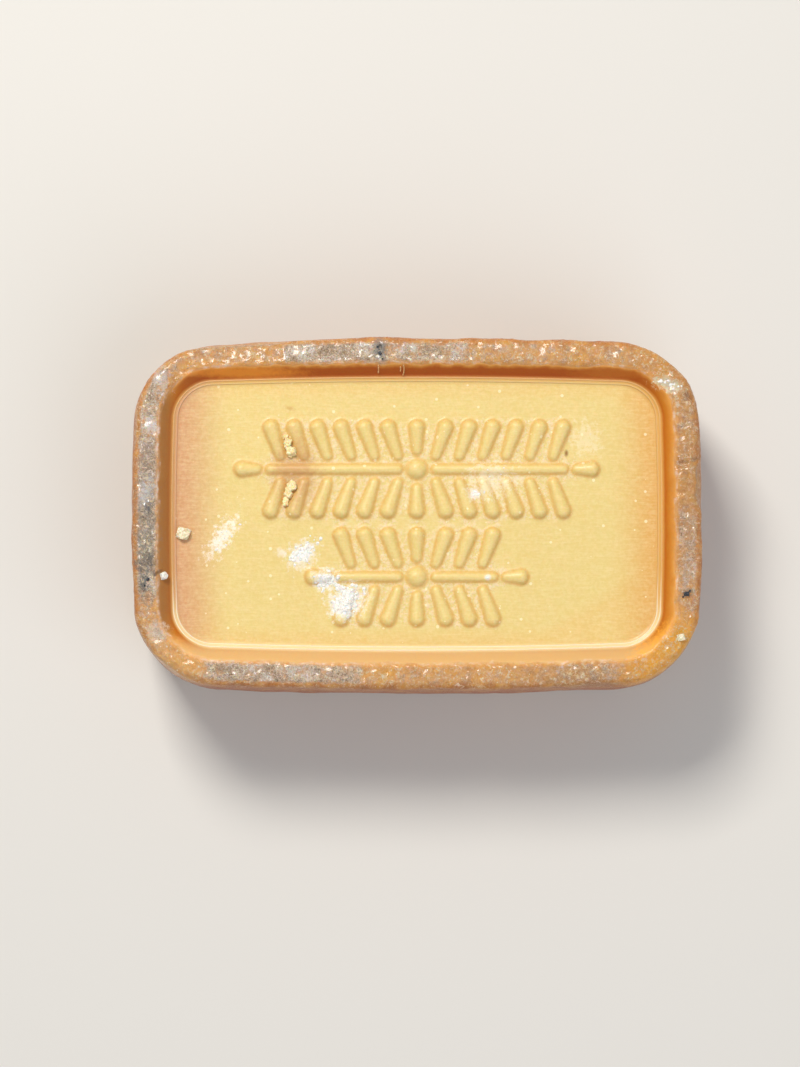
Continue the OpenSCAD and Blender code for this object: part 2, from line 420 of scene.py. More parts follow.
WEAR = [  # name, kind, size of the damage, its full travel (mm), where, level that stays, settings
    ("handled", "CLOUDS", 9, 0.7, walls, 0.6, {"noise_depth": 1}),
    ("chipped", "VORONOI", 2.4, 0.4, upper_land, 0.6, {}),
    ("knobbly", "CLOUDS", 2.1, 0.65, lumpy, 0.5, {"noise_depth": 1}),
    ("flaked", "CLOUDS", 1.1, 0.34, upper_land, 0.5, {"noise_depth": 2, "noise_type": "HARD_NOISE"}),
    ("pitted", "CLOUDS", 0.5, 0.2, upper_land, 0.5, {"noise_depth": 1}),
]
for name, kind, size, travel, group, mid, settings in WEAR:
    displace(bar, texture(name, kind, noise_scale=size * MM, **settings), travel, group, mid)

# %% [markdown]
# Single knocks have a place of their own. Each is a groove between two points, or a round dent where
# the two points are one, pressed along the skin's normal and fading out with distance. A negative
# depth raises a lump instead.

# %% Dents, notches and creases
KNOCKS = [  # from (x, y, z), to (x, y, z), radius, depth, all in mm
    ((-33, 28.6, 26), (-24, 29, 26), 4.2, 0.9),  # worn shoulder, upper left
    ((10.6, 29, 26.5), (11.6, 29, 26.5), 0.8, 0.4),  # nick in the upper edge
    ((46, 6.6, 26), (46, 3, 26), 1.6, 0.95),  # notch in the right edge
    ((40.6, 7.4, 27), (46.5, 8.9, 26), 0.35, 0.4),  # crease across the right rim
    ((41.5, 3.2, 27), (46.5, 2.5, 26), 0.3, 0.3),  # its fellow, lower down
    ((25.5, -29, 26), (31.5, -28.4, 26), 1.3, 0.55),  # long chip in the lower edge
    ((-8.6, -25.5, 27), (-8.6, -28.5, 26), 0.4, 0.25),  # step where the lower rim is scraped
    ((-21.3, 25, 27), (-21.3, 28.7, 26), 0.35, 0.25),  # step where the upper rim is scraped
    ((8.4, 24.8, 27), (8.2, 28.7, 26), 0.35, 0.25),  # and another
    ((45.4, -17, 26), (45.2, -19.4, 26), 0.7, -0.35),  # flake lifting at the right edge
    ((-46.2, 12, 26), (-46.2, 16, 26), 1.5, 0.45),  # flat knocked on the left edge
    ((-46.2, -20, 25), (-43, -26, 25), 2.0, 0.35),  # worn lower left corner
    ((41, -27.5, 25), (45, -23, 25), 2.2, 0.4),  # worn lower right corner
    ((-0.6, 26.3, 27), (-0.6, 26.3, 27), 0.5, -0.4),  # glassy nodule on the upper rim
    ((-5.9, 24.5, 26.8), (-5.9, 24.5, 26.8), 0.3, -0.25),  # small nodules at the brink of its slope
    ((-1, 24.5, 26.8), (-1, 24.5, 26.8), 0.3, -0.25),
    ((2.2, 24.1, 26.6), (2.2, 24.1, 26.6), 0.3, -0.2),
    ((-8.9, 24.8, 27), (-7.6, 25.8, 27), 0.2, -0.15),  # burr raised by a scratch
    ((-22, -28.3, 9), (-15, -28.6, 13), 0.6, 0.3),  # scrapes and dents in the walls
    ((17, 28.4, 9), (24, 28.2, 7), 0.8, 0.35),
    ((46, -6, 8), (46, 1, 14), 0.5, 0.3),
    ((-46, 6, 9), (-46, 7, 9), 1.8, 0.5),
    ((14, -28.6, 6), (15, -28.6, 6), 2.4, 0.4),
]


def knock(obj, start, end, radius, depth):
    """Press a groove from start to end into obj."""
    points, normals = points_of(obj), normals_of(obj)
    start, way = np.array(start, float), np.subtract(end, start)
    along = np.clip((points - start) @ way / max(way @ way, 1e-9), 0, 1)
    gap = np.linalg.norm(points - start - np.outer(along, way), axis=1)
    fade = depth * np.exp(-(gap / radius) ** 2)
    moved = (points - normals * fade[:, None]) * MM
    obj.data.vertices.foreach_set("co", moved.ravel())
    obj.data.update()


for mark in KNOCKS:
    knock(bar, *mark)
print(len(KNOCKS), "knocks pressed into the skin")

# %% [markdown]
# The skin is far denser than the flat panels need. Decimate merges points where the surface is flat
# and keeps them where it turns, so the chips and ridges stay sharp within the limit of 200,000
# triangles. It leaves alone what its vertex group leaves out: the feet of the ridges and the ledge,
# where the finish changes within a millimetre.

# %% Thin the skin
MOST_TRIANGLES = 190000
KEPT_OFF, KEPT_HALF_W = 0.4, 0.7
points = points_of(bar)
inset = from_outline(points)
at_foot = (inset > U_PANEL) & (np.abs(from_ridges(points)[0] - KEPT_OFF) < KEPT_HALF_W)
at_ledge = np.abs(inset - U_LEDGE - KEPT_OFF) < KEPT_HALF_W
thinned = paint_group(bar, "thinned", 1.0 - (on_top(points) & (at_foot | at_ledge)))
full = triangles(bar)
apply_modifier(bar, "DECIMATE", ratio=min(1, MOST_TRIANGLES / full), vertex_group=thinned)
bar.vertex_groups.clear()
activate(bar)
bpy.ops.object.shade_smooth()
print("thinned from", full, "to", triangles(bar), "triangles")

# %% [markdown]
# ## What the finish needs to know
# The material is painted by four values that are stored at each point of the skin: the distance in
# from the outline, the distance from the nearest ridge, how closely ridges crowd round the point, and
# how far the land is abraded to a grey, sparkling crust. The abraded stretches are listed by side.

# %% Store the values at each point
ABRADED = [  # side, from, to, how far it is abraded, how softly it ends (mm along the side)
    ("left", -14.5, 13.2, 0.9, 2.5), ("left", 12, 25, 0.8, 2), ("left", -24, -14, 0.45, 2),
    ("upper", -21.3, -5.1, 0.95, 0.5), ("upper", -5.1, 8.4, 0.7, 0.5), ("upper", 8.4, 25, 0.4, 1),
    ("upper", -44, -21.3, 0.36, 1), ("upper", 28, 44, 0.3, 3), ("right", 6, 23, 0.4, 3),
    ("right", -13.8, 1.6, 0.6, 1.4), ("right", -17, -13.8, 0.3, 1), ("lower", -34, -8.6, 0.85, 1.2),
    ("lower", -8.6, 22, 0.25, 1), ("lower", 21.5, 34, 0.5, 3.2),
]
SIDES = {"left": (0, -1), "right": (0, 1), "upper": (1, 1), "lower": (1, -1)}


def abrasion(points, inset):
    """How far each point is abraded, from 0 to 1."""
    on_land = ramp(inset, 0.9, 1.9) * ramp(inset, 4.9, 4.1) * near_top(points)
    worn = np.zeros(len(points))
    for side, start, end, strength, soft in ABRADED:
        axis, sign = SIDES[side]
        across, along = points[:, axis] * sign, points[:, 1 - axis]
        window = ramp(along, start - soft, start + soft) * ramp(along, end + soft, end - soft)
        edge = (HALF_W if axis else HALF_L) - CORNER_R / 2
        worn = np.maximum(worn, strength * window * (across > edge))
    return worn * on_land


def store(obj, name, values):
    attribute = obj.data.attributes.new(name, "FLOAT", "POINT")
    attribute.data.foreach_set("value", values.astype(np.float32))


FAR_FROM_RIDGES = 10
points = points_of(bar)
inset = from_outline(points)
nearest, second = from_ridges(points)
between = ramp(nearest, 0.02, 0.3) * ramp(nearest, 1.0, 0.6) * ramp(second, 2.0, 1.1)
store(bar, "inset", inset)
store(bar, "ridge_gap", np.where(on_top(points), nearest, FAR_FROM_RIDGES).clip(max=FAR_FROM_RIDGES))
store(bar, "nook", on_top(points) * between)
store(bar, "abraded", abrasion(points, inset))
print("stored inset, ridge_gap, nook and abraded at", len(points), "points")

# %% [markdown]
# ## Finishes
# Hex colours are sRGB, as a paint chip is read. Blender's shaders want linear light, so one function
# turns them. Another adds a node with its settings and links its inputs, and every material below is
# built with it.

# %% Colour and node helpers
def linear(hex_colour):
    """A linear RGBA colour from an sRGB hex string."""
    channels = [int(hex_colour[i:i + 2], 16) / 255 for i in (1, 3, 5)]
    return [c / 12.92 if c <= 0.04045 else ((c + 0.055) / 1.055) ** 2.4 for c in channels] + [1]


def new_material(name):
    material = bpy.data.materials.new(name)
    material.use_nodes = True
    material.node_tree.nodes.clear()
    return material


def add(material, kind, inputs=(), **settings):
    """Add a shader node with these settings. Each input is a value, or another node's output to link."""
    tree = material.node_tree
    node = tree.nodes.new("ShaderNode" + kind)
    for name, value in settings.items():
        setattr(node, name, value)
    for key, value in dict(inputs).items():
        if isinstance(value, bpy.types.NodeSocket):
            tree.links.new(value, node.inputs[key])
        else:
            node.inputs[key].default_value = value
    return node


def fill_ramp(node, stops):
    """Set a Color Ramp's stops from (place, hex colour) pairs."""
    elements = node.color_ramp.elements
    while len(elements) < len(stops):
        elements.new(1)
    for element, (place, colour) in zip(elements, stops):
        element.position = place
        element.color = linear(colour)


# %% [markdown]
# ### Aged hard soap
# Hard soap is sodium soap with little water left in it. It is waxy: light enters, scatters for about
# a millimetre and comes back warmer, so thin edges glow. Where air and light reach it most it
# oxidises from straw yellow to amber, and the rim is the oldest surface of all. The base colour
# therefore follows the distance in from the outline. Everything else is laid over that, layer by
# layer, as it came on the real bar.

# %% Base colour of the aged soap
PLACES_IN = [  # distance in from the outline in mm, colour of the soap there
    (0, "#a04a06"), (1.0, "#d2893e"), (2.0, "#efb46c"), (3.9, "#f0b262"), (4.9, "#e2a04a"),
    (5.7, "#cf8120"), (6.3, "#bf6702"), (6.8, "#dfa552"), (7.6, "#e3c276"), (10.5, "#e2ca80"),
]
RAMP_SPAN = 12

soap = new_material("aged_hard_soap")


def lay(under, over, share, *masks):
    """Lay a colour over another, as far as its share says, cut down by each mask in turn."""
    for mask in masks:
        share = add(soap, "Math", {0: share, 1: mask}, operation="MULTIPLY").outputs[0]
    over = linear(over) if isinstance(over, str) else over
    return add(soap, "Mix", {0: share, 6: under, 7: over}, data_type="RGBA").outputs[2]


place_mm = add(soap, "VectorMath",
               {0: add(soap, "TexCoord").outputs["Object"], "Scale": 1 / MM},
               operation="SCALE").outputs[0]
split = add(soap, "SeparateXYZ", {0: place_mm})
inset_mm = add(soap, "Attribute", attribute_name="inset").outputs["Fac"]
gap_mm = add(soap, "Attribute", attribute_name="ridge_gap").outputs["Fac"]
abraded = add(soap, "Attribute", attribute_name="abraded").outputs["Fac"]

# Every pattern of the finish is a noise with its own size, in repeats a millimetre.
PATTERNS = {  # name: (repeats a mm, detail, roughness, distortion)
    "wander": (0.45, 4, 0.5, 0), "clots": (1.9, 3, 0.7, 0), "fleck": (1.5, 5, 0.72, 0.8),
    "groups": (0.25, 1, 0.5, 0), "patch": (0.8, 5, 0.65, 0), "grains": (2.4, 3, 0.8, 1.5),
    "shade": (0.33, 2, 0.5, 0), "broken": (1.1, 5, 0.8, 0), "winding": (0.95, 1.5, 0.5, 1.2),
}
noise = {}
for name, (repeats, detail, roughness, distortion) in PATTERNS.items():
    noise[name] = add(soap, "TexNoise",
                      {"Vector": place_mm, "Scale": repeats, "Detail": detail,
                       "Roughness": roughness, "Distortion": distortion}).outputs["Fac"]

# The bands of colour wander by up to half a millimetre, as oxidised soap does, but they keep to
# the crisp edge of the ledge.
wander_reach = add(soap, "MapRange",
                   {"Value": inset_mm, "From Min": U_LEDGE - 1.4, "From Max": U_LEDGE - 0.2,
                    "To Min": 1.2, "To Max": 0.1})
wandered = add(soap, "Math", {0: noise["wander"], 1: 0.5}, operation="SUBTRACT")
wandered = add(soap, "Math",
               {0: wandered.outputs[0], 1: wander_reach.outputs[0], 2: inset_mm},
               operation="MULTIPLY_ADD").outputs[0]
along_ramp = add(soap, "MapRange", {"Value": wandered, "From Max": RAMP_SPAN}).outputs[0]
bands = add(soap, "ValToRGB", {"Fac": along_ramp})
fill_ramp(bands, [(u / RAMP_SPAN, colour) for u, colour in PLACES_IN])
colour = bands.outputs["Color"]

# %% [markdown]
# The bar didn't age evenly. Both ends of its panel are older than the middle, pinkish on the left and
# amber on the right. The slopes carry painted light and shade for the way they face the key light:
# the left slope is painted brown and the upper slope dark orange as painted shade, and the lower
# slope and the lower ledge are painted pale as painted light. Each tint grows along X or Y and is
# kept to one band of the rim or to the panel.

# %% Tints of the sides, and painted light and shade of the slopes
TINTS_AND_PAINTED_LIGHT = [  # axis, none here, full there, from and to this far in, colour, most (all in mm)
    ("X", -29, -38.8, 7.0, 40, "#cd936a", 0.9), ("X", 30, 39, 7.0, 40, "#dba04c", 0.8),
    # Next three lines: the left slope's brown and the upper slope's dark orange are painted shade; the
    # lower slope's pale and the lower ledge's cream are painted light.
    ("X", -38, -40.5, 4.6, 7.0, "#9a6a3c", 0.8), ("Y", -19, -22.5, 4.6, 7.0, "#e2bb80", 0.8),
    ("Y", 18, 22.5, 5.2, 6.7, "#ac4c00", 0.9), ("Y", -17, -24, 7.0, 40, "#e4bd70", 0.35),
    ("Y", -12, -18, 6.75, 7.5, "#f8e0a8", 0.7),
]
TINT_SOFT = 0.3
for axis, none, full, start, end, tint, most in TINTS_AND_PAINTED_LIGHT:
    grown = add(soap, "MapRange",
                {"Value": split.outputs[axis], "From Min": none, "From Max": full, "To Max": most},
                interpolation_type="SMOOTHSTEP").outputs[0]
    after_start, before_end = [
        add(soap, "MapRange",
            {"Value": wandered, "From Min": place - way * TINT_SOFT,
             "From Max": place + way * TINT_SOFT}).outputs[0]
        for place, way in ((start, 1), (end, -1))]
    colour = lay(colour, tint, grown, after_start, before_end)

# %% [markdown]
# The die drew fine streaks along the panel, and two hairline beads run along the ledge where its
# parts met; the beads are painted pale as painted highlights, most on the lower side, whose steps face
# the key light. The flanks and feet of the ridges are painted a saturated ochre as painted shade, and
# dust has settled in clots between the ridges.

# %% Streaks, bead highlights, painted shade of the flanks, and dust
def stripe(value, middle, half_w, full_w=0.0, **settings):
    """1 where a value is within full_w of the middle, fading to 0 at half_w from it."""
    off = add(soap, "Math", {0: value, 1: middle}, operation="SUBTRACT").outputs[0]
    off = add(soap, "Math", {0: off}, operation="ABSOLUTE").outputs[0]
    return add(soap, "MapRange", {"Value": off, "From Min": half_w, "From Max": full_w},
               **settings).outputs[0]


def dots(cells, channel, left_out, largest):
    """Round dots, in so many cells a mm: this share is left out, and the rest grow to the largest."""
    scattered = add(soap, "TexVoronoi", {"Vector": place_mm, "Scale": cells})
    chance = add(soap, "SeparateColor", {0: scattered.outputs["Color"]}).outputs[channel]
    size = add(soap, "MapRange", {"Value": chance, "From Min": left_out, "To Max": largest})
    return add(soap, "Math", {0: scattered.outputs["Distance"], 1: size.outputs[0]},
               operation="LESS_THAN").outputs[0]


# Streaks are 2 mm long and 0.25 mm wide.
stretched = add(soap, "VectorMath", {0: place_mm, 1: (0.5, 4, 4)},
                operation="MULTIPLY").outputs[0]
streaks = add(soap, "TexNoise",
              {"Vector": stretched, "Scale": 1, "Detail": 3, "Roughness": 0.6}).outputs["Fac"]
streak_share = add(soap, "MapRange",
                   {"Value": streaks, "From Min": 0.45, "From Max": 0.75, "To Max": 0.24}).outputs[0]
on_panel = add(soap, "MapRange",
               {"Value": inset_mm, "From Min": U_PANEL - 0.2, "From Max": U_PANEL + 0.6}).outputs[0]
colour = lay(colour, "#f8e6b4", streak_share, on_panel)

# The beads lie 6.9 and 7.4 mm in, each a third of a millimetre wide.
BEADS, BEAD_HALF_W = (6.9, 7.42), 0.18
inner, outer = [stripe(inset_mm, bead, BEAD_HALF_W, interpolation_type="SMOOTHSTEP")
                for bead in BEADS]
bead_height = add(soap, "Math", {0: inner, 1: outer}, operation="ADD").outputs[0]
# Painted highlight: the beads are painted pale, faintly on the upper part and most on the lower side.
bead_highlight_side = add(soap, "MapRange", {"Value": split.outputs["Y"], "From Min": -9, "From Max": -16,
                                   "To Min": 0.16, "To Max": 0.9})
colour = lay(colour, "#fff0cf", bead_height, bead_highlight_side.outputs[0])

# Painted shade: the flanks of the ridges and a third of a millimetre round their feet are painted ochre.
flank_shade = add(soap, "MapRange",
            {"Value": gap_mm, "From Min": -0.6, "From Max": 0, "To Max": 0.55}).outputs[0]
flank_shade_end = add(soap, "MapRange",
                {"Value": gap_mm, "From Min": 0.35, "From Max": 0}).outputs[0]
colour = lay(colour, "#dca448", flank_shade, flank_shade_end)

# Clots of dust are about half a millimetre. They also mottle the panel, faintly.
clot_share = add(soap, "MapRange",
                 {"Value": noise["clots"], "From Min": 0.42, "From Max": 0.62}).outputs[0]
colour = lay(colour, "#fbeab8", clot_share, on_panel, 0.16)
crowded = add(soap, "Attribute", attribute_name="nook").outputs["Fac"]
nook = add(soap, "Math", {0: crowded, 1: clot_share}, operation="MULTIPLY").outputs[0]
nook = add(soap, "Math", {0: nook, 1: 0.75}, operation="MULTIPLY").outputs[0]
colour = lay(colour, "#f2dcb8", nook)

# Pale specks, up to half a millimetre across and some two apart, lie all over the panel.
specks = dots(0.6, channel=0, left_out=0.4, largest=0.17)
colour = lay(colour, "#fff2cc", specks, on_panel, 0.6)

# %% [markdown]
# The land of the rim has been through most. Its amber drifts from golden to brown, with dark spots
# painted as the shade of crevices, which the walls hardly have. Where it has been scuffed it turns
# pinkish, and where it is worn through it is a grey crust, crinkled like foil, with painted glints.
# One value, how far it is abraded plus a little noise, decides between the two, so their borders are
# ragged.

# %% The worn land
land_share = add(soap, "MapRange",
                 {"Value": wandered, "From Min": U_SLOPE + 0.3, "From Max": U_SLOPE - 0.5}).outputs[0]
off_wall = add(soap, "MapRange",
               {"Value": inset_mm, "From Min": 0.3, "From Max": 1.6, "To Min": 0.2}).outputs[0]
land_share = add(soap, "Math", {0: land_share, 1: off_wall}, operation="MULTIPLY").outputs[0]
for tint, low, high, most in (("#f4b850", 0.5, 0.66, 0.6), ("#b97e50", 0.46, 0.32, 0.5)):
    drift = add(soap, "MapRange", {"Value": noise["wander"], "From Min": low, "From Max": high,
                                   "To Max": most}).outputs[0]
    colour = lay(colour, tint, drift, land_share)
# Dark spots, painted shade of crevices, are 0.3 to 0.8 mm across, and so are the flecks that come later.
crevice_shade = add(soap, "MapRange", {"Value": noise["fleck"], "From Min": 0.42, "From Max": 0.3,
                                 "To Max": 0.5}).outputs[0]
colour = lay(colour, "#9c5a20", crevice_shade, land_share)

patch = add(soap, "Math", {0: noise["patch"], 1: 2.2, 2: -1.1},
            operation="MULTIPLY_ADD").outputs[0]
crust = add(soap, "Math", {0: patch, 1: abraded}, operation="ADD").outputs[0]
scuffed = add(soap, "MapRange",
              {"Value": crust, "From Min": 0.05, "From Max": 0.6, "To Max": 0.6}).outputs[0]
brink_highlight_share = add(soap, "MapRange",
                    {"Value": scuffed, "From Max": 0.6, "To Min": 0.1, "To Max": 0.9}).outputs[0]
colour = lay(colour, "#deae8c", scuffed, land_share)

# Crinkles of the crust are 0.4 mm wide: most are a warm grey and a few dark; the nearly white ones are
# painted glints.
# Darker and paler areas of the crust are 3 mm across.
shaded = add(soap, "Math", {0: noise["shade"], 1: 0.5, 2: -0.25}, operation="MULTIPLY_ADD")
shaded = add(soap, "Math", {0: shaded.outputs[0], 1: noise["grains"]}, operation="ADD").outputs[0]
crust_and_glint_colour = add(soap, "ValToRGB", {"Fac": shaded})
fill_ramp(crust_and_glint_colour, [(0.3, "#5f5246"), (0.4, "#9a8670"), (0.5, "#c8b5a0"), (0.58, "#e8dfd4"),
                         (0.66, "#ffffff")])
worn_through = add(soap, "MapRange",
                   {"Value": crust, "From Min": 0.4, "From Max": 0.85, "To Max": 0.85}).outputs[0]
colour = lay(colour, crust_and_glint_colour.outputs["Color"], worn_through, land_share)

# %% [markdown]
# Stains and powder come next: each is an ellipse, turned and broken up by noise. White powder is
# broken up strongly, so it looks dusted on, and a stain that soaked in hardly at all. The corners
# of the land were handled most, and are a clearer amber. A few ellipses are painted light: an orange
# glow painted into the upper slope, and white spots on the left rim that are painted highlights of
# its silvery crust.

# %% Stains, powder, and painted glow and highlights
STAINS_AND_PAINTED_LIGHT = [  # x, y, half length, half width (mm), turn (degrees), colour, share, how broken up
    (43.2, 4.0, 2.4, 17.0, 0, "#b98250", 0.38, 1.2),  # browned stretches of the land
    (27.0, -26.4, 9.0, 2.0, 0, "#a87c50", 0.4, 1.2),
    (-27.5, 22.5, 9.5, 0.8, 0, "#f09a30", 0.75, 0.5),  # painted glow in the upper slope
    (31.0, 22.3, 6.0, 0.8, 0, "#c87420", 0.6, 0.5),
    (39.6, -23.4, 8.6, 4.2, 42, "#ffb43a", 0.85, 1.0),  # amber corners
    (-38.6, -24.0, 6.5, 3.2, -40, "#f8bf78", 0.55, 1.0),
    (39.6, 23.6, 7.0, 3.2, -42, "#e2a050", 0.5, 1.0),
    (-19.5, 6.5, 4.0, 6.5, 0, "#c68d5c", 0.6, 0.8),  # dirt between the ridges
    (23.9, 9.7, 0.35, 0.6, 0, "#8a5a22", 0.85, 0.4),  # brown speck
    (-5.9, 26.2, 1.1, 2.2, 0, "#858e94", 0.6, 1.3),  # bluish smear on the upper rim
    (-5.9, 26.6, 0.35, 0.55, 0, "#2a343c", 0.85, 0.6),  # and its black core
    (-43.3, -11.3, 0.9, 1.2, 0, "#52606a", 0.65, 1.0),  # dark grey spot on the left rim
    (-41.4, -9.6, 1.0, 0.3, 35, "#5a3a20", 0.7, 0.6),  # crack beside the slope crumb
    (43.2, 18.6, 0.7, 1.0, 20, "#8c5535", 0.6, 0.7),  # brown pit on the right rim
    (45.2, -18.2, 0.5, 1.3, 0, "#f2e0c0", 0.9, 0.4),  # lifted flake
    (-0.6, 26.3, 0.5, 0.7, 20, "#f3e9df", 0.9, 0.3),  # nodules
    (-5.9, 24.5, 0.25, 0.25, 0, "#fbf0dc", 0.9, 0.2),
    (-1.0, 24.5, 0.25, 0.25, 0, "#fbf0dc", 0.9, 0.2),
    (2.2, 24.1, 0.25, 0.25, 0, "#f7dcb0", 0.9, 0.2),
    (-8.2, 25.3, 0.9, 0.14, 38, "#f6e2cc", 0.9, 0.2),  # burr of a scratch
    (-43.2, -1.0, 1.9, 9.0, 0, "#7f7c79", 0.4, 2.0),  # tarnished stretch of the left rim
    (-40.8, 21.6, 1.2, 1.8, 35, "#e9e6ea", 0.45, 2.6),  # painted highlights on it, white spots of its silvery crust
    (-42.3, 14.2, 0.9, 1.6, 10, "#f6f4f6", 0.5, 2.6),
    (-43.1, 3.4, 1.1, 2.3, -15, "#f6f6fa", 0.42, 2.2),
    (-42.9, 9.2, 1.5, 2.8, 0, "#b39a8c", 0.4, 1.6),  # and pinkish, greenish and dark ones
    (-42.8, 0.6, 0.8, 1.1, 20, "#525c68", 0.55, 1.8),
    (-43.1, -4.6, 1.5, 3.4, 0, "#85806e", 0.45, 1.6),
    (-43.4, -8.4, 1.3, 2.0, 0, "#555d64", 0.45, 1.8),
    # Another white spot, a painted highlight of the crust.
    (-41.5, -18.8, 1.6, 1.1, 0, "#f0e6da", 0.45, 2.6),
    (-18.3, -6.5, 2.6, 2.0, 40, "#f6f2ea", 0.85, 1.7),  # powder round the scum
    (-14.6, -10.7, 2.2, 1.9, 0, "#f6f2ea", 0.8, 1.7),
    (-11.2, -13.9, 3.1, 2.7, 30, "#f8f6f2", 0.9, 1.6),
    (-11.5, -14.2, 2.3, 1.3, 50, "#ffffff", 0.95, 0.9),
    (-14.8, -10.9, 1.3, 1.0, 0, "#f6f6f6", 0.9, 1.0),
    (-18.4, -6.4, 1.3, 1.0, 30, "#f8f8f6", 0.85, 1.0),
    (-31.0, -3.6, 3.8, 1.4, 58, "#fdf6ea", 0.8, 2.6),
    (-20.3, 16.9, 0.9, 0.35, -15, "#c79a48", 0.6, 1.2),  # ochre smear above the relief
    (-21.6, -6.2, 1.0, 0.8, 0, "#f5ecdc", 0.6, 1.5),
    (12.0, 5.4, 3.6, 2.8, 0, "#f8f0d8", 0.5, 2.6),
    (9.0, 3.2, 1.0, 1.2, 0, "#fbf7ec", 0.9, 1.2),
    (27.0, 12.0, 2.2, 2.6, 0, "#f8eccc", 0.4, 2.6),
    (40.0, 20.6, 2.2, 1.0, -15, "#f4eed0", 0.8, 2.0),
    (11.3, -10.2, 0.55, 0.5, 0, "#fff8e8", 0.9, 0.5),
]
STAIN_DEPTH = 5
broken = add(soap, "Math", {0: noise["broken"], 1: 0.5}, operation="SUBTRACT").outputs[0]
for x, y, half_long, half_wide, turn, tint, most, how_broken in STAINS_AND_PAINTED_LIGHT:
    centred = add(soap, "Mapping",
                  {"Vector": place_mm, "Location": (x, y, BAR_H),
                   "Scale": (half_long, half_wide, STAIN_DEPTH),
                   "Rotation": (0, 0, math.radians(turn))}, vector_type="TEXTURE").outputs[0]
    reach = add(soap, "VectorMath", {0: centred}, operation="LENGTH").outputs["Value"]
    edge = add(soap, "Math", {0: broken, 1: how_broken * 2, 2: reach},
               operation="MULTIPLY_ADD").outputs[0]
    share = add(soap, "MapRange",
                {"Value": edge, "From Min": 1.3, "From Max": 0.55, "To Max": most}).outputs[0]
    colour = lay(colour, tint, share)

# %% [markdown]
# What comes last lies on top and is the palest: flecks, partly where the skin has flaked and partly
# painted glints, a painted highlight along the brink of the slope, partly a pale scuff, fine crackle
# where the skin has dried and split, painted pale as glints, and sparkles, painted glints of single
# broken faces that catch the light.

# %% Flecks, and painted highlights: brink, crackle and sparkles
# Flecks come in groups of some 4 mm. They are partly flaked skin and partly painted glints.
fleck_and_glint_share = add(soap, "MapRange",
                  {"Value": noise["fleck"], "From Min": 0.52, "From Max": 0.64}).outputs[0]
group_share = add(soap, "MapRange", {"Value": noise["groups"], "From Min": 0.35, "From Max": 0.6,
                                     "To Min": 0.4}).outputs[0]
colour = lay(colour, "#fbe3c2", fleck_and_glint_share, group_share, land_share)

# A pale line along the brink of the slope is a painted highlight, partly a pale scuff, strongest where
# the land beside it is abraded.
BRINK_HIGHLIGHT, BRINK_HIGHLIGHT_HALF_W = 4.7, 0.35
brink = stripe(wandered, BRINK_HIGHLIGHT, BRINK_HIGHLIGHT_HALF_W, interpolation_type="SMOOTHSTEP")
colour = lay(colour, "#f6e9df", brink, brink_highlight_share, 0.8)

# Raised crackle lines 0.15 mm wide wind over the land a millimetre apart; their pale colour is painted
# glint.
lines = stripe(noise["winding"], 0.5, 0.022, 0.004)
crackle_glints = add(soap, "Math", {0: lines, 1: land_share}, operation="MULTIPLY")
crackle_glints = add(soap, "Math", {0: crackle_glints.outputs[0], 1: group_share},
              operation="MULTIPLY").outputs[0]
colour = lay(colour, "#ffe7bd", crackle_glints, 0.75)

# Sparkles are painted glints: dots of up to 0.3 mm for broken faces that catch the light, on all of the
# land.
painted_sparkles = dots(1.6, channel=1, left_out=0.3, largest=0.25)
colour = lay(colour, "#fff0d6", painted_sparkles, land_share, 0.75)

# %% [markdown]
# Relief too fine for the mesh is left to bump: die streaks 0.03 mm deep, the beads 0.1 mm high, and
# crinkles and flecks about 0.1 mm deep on the land. The gloss is waxy, and on the land, where hands
# rub it, a smoother coat of worked soap lies over it.

# %% Gloss and fine relief
gloss = add(soap, "MapRange",
            {"Value": noise["clots"], "From Min": 0.3, "From Max": 0.7,
             "To Min": 0.36, "To Max": 0.52}).outputs[0]
polish = add(soap, "MapRange",
             {"Value": land_share, "To Min": 0.12, "To Max": 0.5}).outputs[0]
streak_height = add(soap, "Math", {0: streaks, 1: on_panel}, operation="MULTIPLY").outputs[0]
fine = add(soap, "Bump",
           {"Height": streak_height, "Strength": 0.5, "Distance": 0.035 * MM}).outputs[0]
beaded = add(soap, "Bump",
             {"Height": bead_height, "Strength": 0.8, "Distance": 0.1 * MM, "Normal": fine}).outputs[0]
rough_height = add(soap, "Math", {0: noise["fleck"], 1: noise["grains"]},
                   operation="ADD").outputs[0]
rough_height = add(soap, "Math", {0: rough_height, 1: land_share},
                   operation="MULTIPLY").outputs[0]
for height, share in ((crackle_glints, 0.25), (nook, 0.15), (noise["clots"], 0.14)):
    rough_height = add(soap, "Math", {0: height, 1: share, 2: rough_height},
                       operation="MULTIPLY_ADD").outputs[0]
rough_skin = add(soap, "Bump",
                 {"Height": rough_height, "Strength": 1.0, "Distance": 0.4 * MM,
                  "Normal": beaded}).outputs[0]

surface = add(soap, "BsdfPrincipled",
              {"Base Color": colour, "Roughness": gloss, "IOR": 1.46, "Normal": rough_skin,
               "Subsurface Weight": 0.35, "Subsurface Radius": (1.0, 0.5, 0.22),
               "Subsurface Scale": 1.6 * MM, "Coat Weight": polish, "Coat Roughness": 0.16})
add(soap, "OutputMaterial", {"Surface": surface.outputs[0]})
bar.data.materials.clear()
bar.data.materials.append(soap)
print("material", soap.name, "with", len(soap.node_tree.nodes), "nodes")

# %% [markdown]
# The detailed bar stands for the plain one, which stays in the physics. It rides on the only body.

# %% The bar rides on the body
def stand_in(piece, slot, *nodes):
    """Put a finished piece on the body, in place of these nodes."""
    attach(piece, "root")
    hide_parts(*nodes)
    print(piece.name, "stands for", ", ".join(nodes), "with", triangles(piece), "triangles")


stand_in(bar, "aged_soap", "soap_bar")

